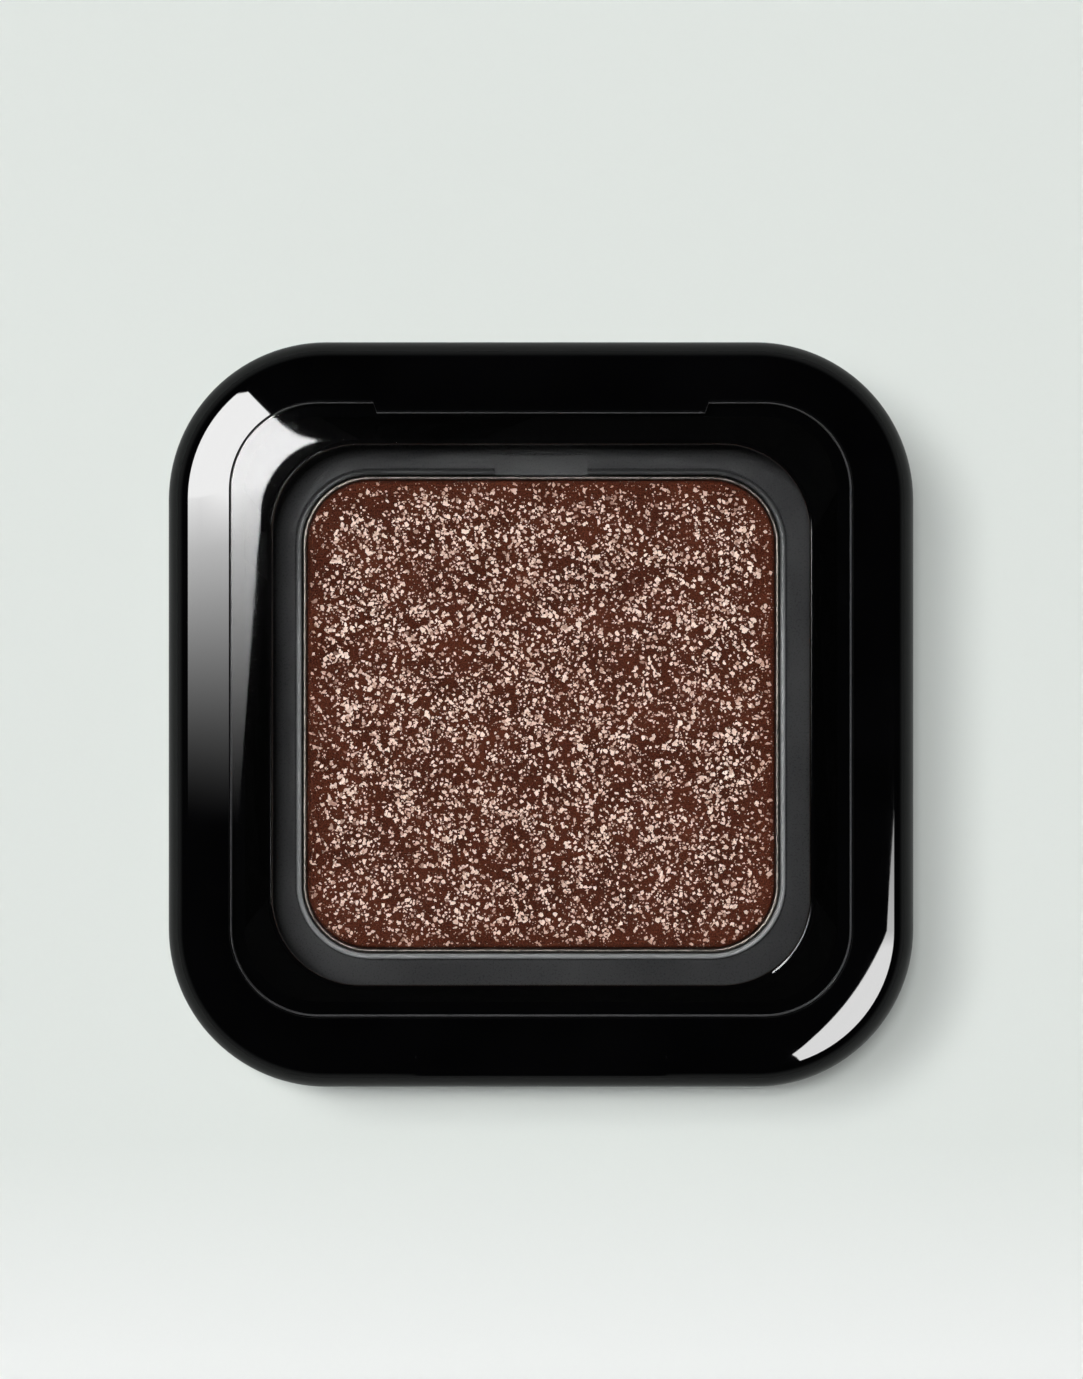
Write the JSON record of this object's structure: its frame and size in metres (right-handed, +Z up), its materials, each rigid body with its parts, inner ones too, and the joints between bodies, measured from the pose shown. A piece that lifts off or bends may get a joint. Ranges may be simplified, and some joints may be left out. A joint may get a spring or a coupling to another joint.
{
  "type": "eyeshadow compact",
  "caption": "Square hinged eyeshadow compact: clear window in a crowned gloss black lid, over a tray with a pan of pressed shimmer powder.",
  "frame": {"origin": "middle of the underside of the closed compact", "axes": "+X to the right seen from the front, +Y to the hinge, +Z up"},
  "size_m": [0.042, 0.042, 0.012],
  "materials": {
    "gloss_black": "polished moulded black",
    "satin_grey": "satin dark grey",
    "pan_metal": "drawn metal, bare",
    "shimmer_powder": "pressed red-brown powder with champagne flakes",
    "glue_film": "black adhesive film",
    "label_paper": "blank matt label",
    "pin_steel": "drawn wire",
    "clear_plastic": "clear polished"
  },
  "bodies": {
    "base": {"base_shell": "gloss_black", "inner_tray": "satin_grey", "powder_pan": "pan_metal", "eyeshadow_cake": "shimmer_powder", "pan_adhesive": "glue_film", "bottom_label": "label_paper", "hinge_pin_left": "pin_steel", "hinge_pin_right": "pin_steel"},
    "lid": {"lid_frame": "gloss_black", "window_plate": "clear_plastic", "window_adhesive": "glue_film"}
  },
  "joints": [
    {"name": "lid_hinge", "type": "hinge", "parent": "base", "child": "lid", "pos_m": [0, 0.0194, 0.0046], "axis": [-1, 0, 0], "range_deg": [0, 105]}
  ]
}
